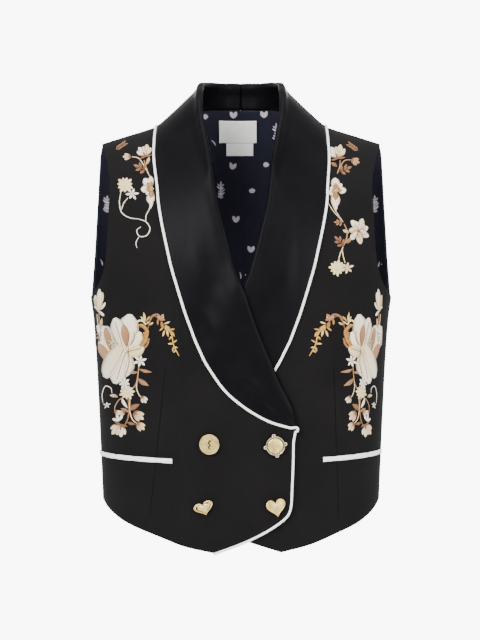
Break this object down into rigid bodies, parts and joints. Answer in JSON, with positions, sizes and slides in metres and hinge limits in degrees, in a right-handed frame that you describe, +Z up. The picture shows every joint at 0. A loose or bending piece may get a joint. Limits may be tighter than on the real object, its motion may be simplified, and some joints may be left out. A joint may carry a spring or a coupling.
{
  "type": "embroidered double-breasted waistcoat",
  "caption": "Hollow, worn-shape double-breasted waistcoat with a satin shawl collar, ivory piping, pocket welts, gold novelty buttons and raised floral embroidery",
  "frame": {"origin": "midway between the shoulders, where the wearer carries the waistcoat", "axes": "+X is the wearer's left, the front faces -Y, +Z is up"},
  "size_m": [0.3838, 0.2514, 0.5976],
  "materials": {
    "crepe": "matt warm black crepe",
    "satin": "blue-black satin with a soft sheen",
    "lining": "navy woven lining with small pale motifs",
    "ivory_cord": "off-white corded piping and welts",
    "pale_gold": "pale gold, hammered",
    "label_tape": "bare white woven tape"
  },
  "bodies": {
    "root": {"front_right": "crepe", "front_left": "crepe", "back_right": "crepe", "back_left": "crepe", "lining_back_right": "lining", "lining_back_left": "lining", "collar_right": "satin", "collar_left": "satin", "piping_collar_right": "ivory_cord", "piping_collar_left": "ivory_cord", "piping_front_edge": "ivory_cord", "pocket_welt_right": "ivory_cord", "pocket_welt_left": "ivory_cord", "button_coin": "pale_gold", "button_medallion": "pale_gold", "button_heart_framed": "pale_gold", "button_heart_plain": "pale_gold", "label_main": "label_tape", "label_size": "label_tape"}
  },
  "joints": []
}
